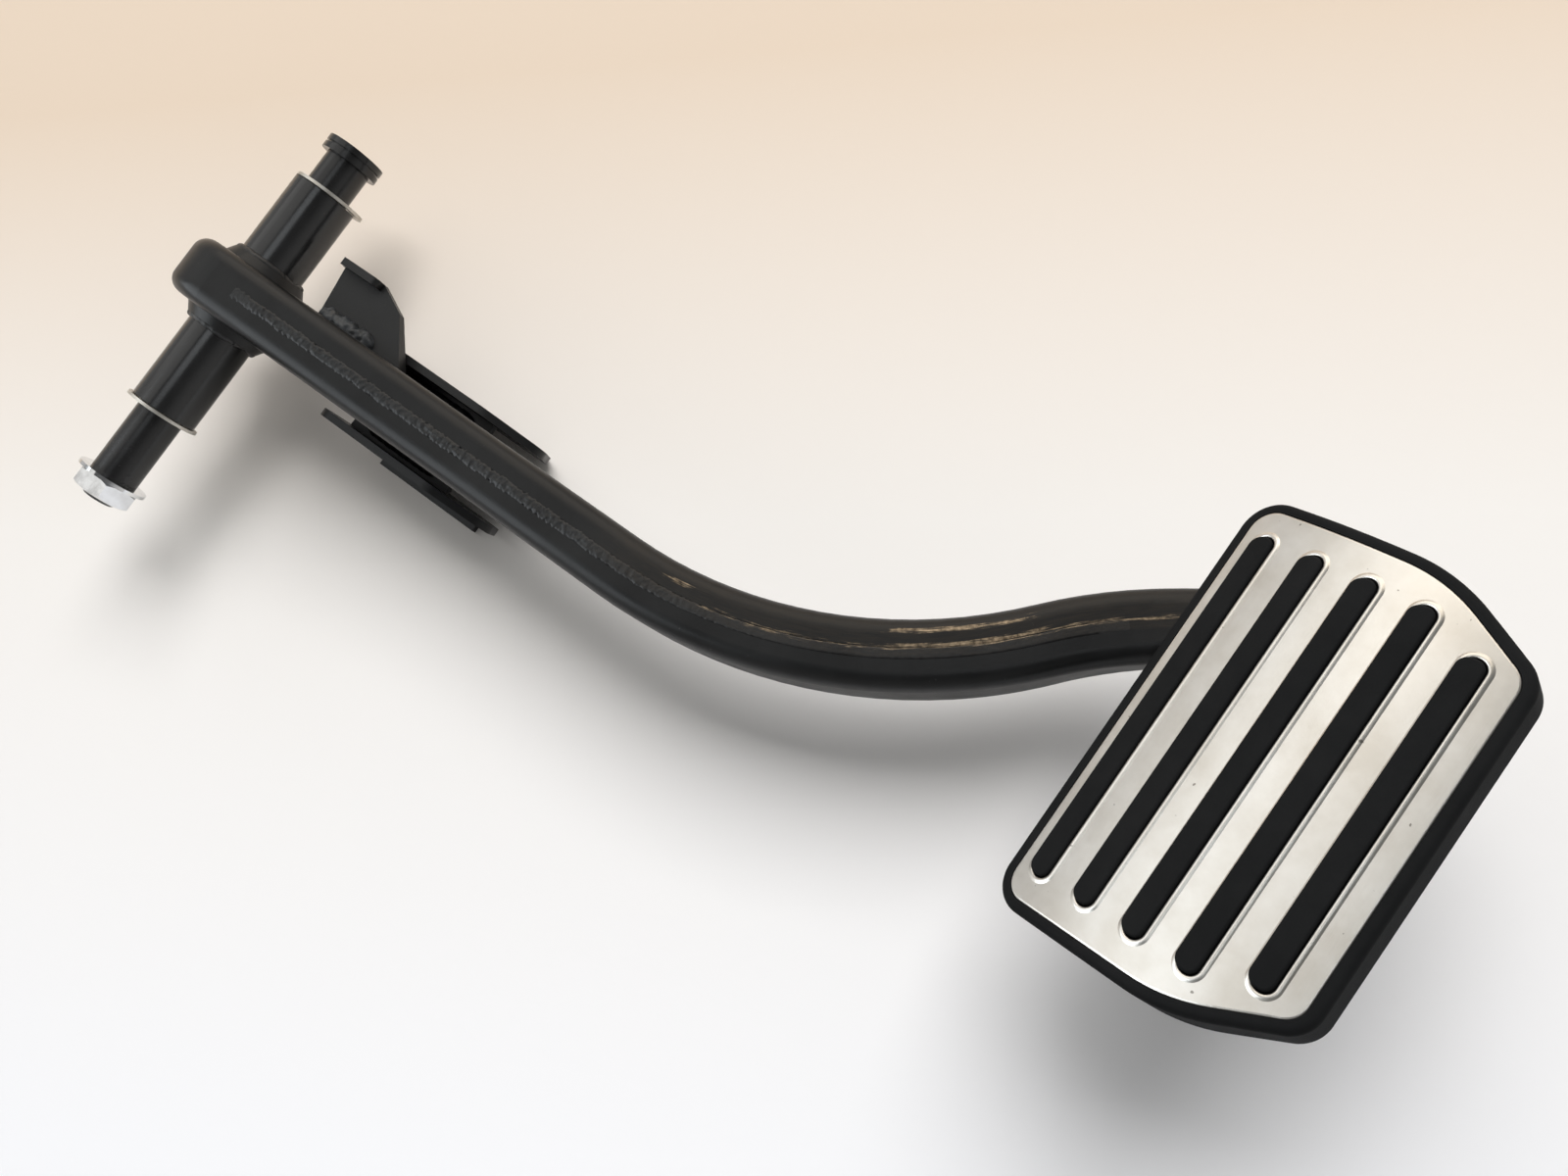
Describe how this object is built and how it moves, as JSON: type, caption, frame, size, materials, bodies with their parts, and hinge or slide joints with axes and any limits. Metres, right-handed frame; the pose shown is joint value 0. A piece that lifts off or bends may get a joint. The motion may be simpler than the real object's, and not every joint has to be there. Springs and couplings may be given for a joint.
{
  "type": "brake pedal",
  "caption": "Hanging brake pedal: hollow welded steel arm with a sideways bend, pivot tube with headed pin and nut, pushrod bracket, switch tab and a rubber pad with a slotted steel trim plate.",
  "frame": {"origin": "on the pivot axis, in the middle plane of the arm", "axes": "+X along the arm to the pad, +Y along the pivot axis to the pin's head, +Z out of the side that faces the driver"},
  "size_m": [0.3947, 0.1874, 0.0959],
  "materials": {
    "arm_paint": "satin black paint, worn along the seam",
    "tube_paint": "gloss black paint",
    "bracket_paint": "satin black paint",
    "plate_paint": "satin black paint",
    "weld": "rough weld bead under black paint",
    "pin_black": "black coated steel",
    "washer_grey": "grey plastic",
    "bush_plastic": "grey plastic",
    "zinc": "bright zinc plating",
    "rubber": "matt black rubber",
    "trim_steel": "satin stainless steel"
  },
  "bodies": {
    "pivot": {"pivot_pin": "pin_black", "pivot_nut": "zinc", "nut_washer": "zinc", "washer_left": "washer_grey", "washer_right": "washer_grey"},
    "pedal": {"arm_shell_left": "arm_paint", "arm_shell_right": "arm_paint", "seam_weld": "weld", "pivot_tube": "tube_paint", "hub_weld": "weld", "bush_left": "bush_plastic", "bush_right": "bush_plastic", "pushrod_bracket": "bracket_paint", "bracket_weld": "weld", "switch_tab": "bracket_paint", "tab_weld": "weld", "pad_plate": "plate_paint", "pad_weld": "weld", "pad_rubber": "rubber", "pad_trim": "trim_steel"}
  },
  "joints": [
    {"name": "pedal_swing", "type": "hinge", "parent": "pivot", "child": "pedal", "pos_m": [0, 0, 0], "axis": [0, 1, 0], "range_deg": [-18, 0]}
  ]
}
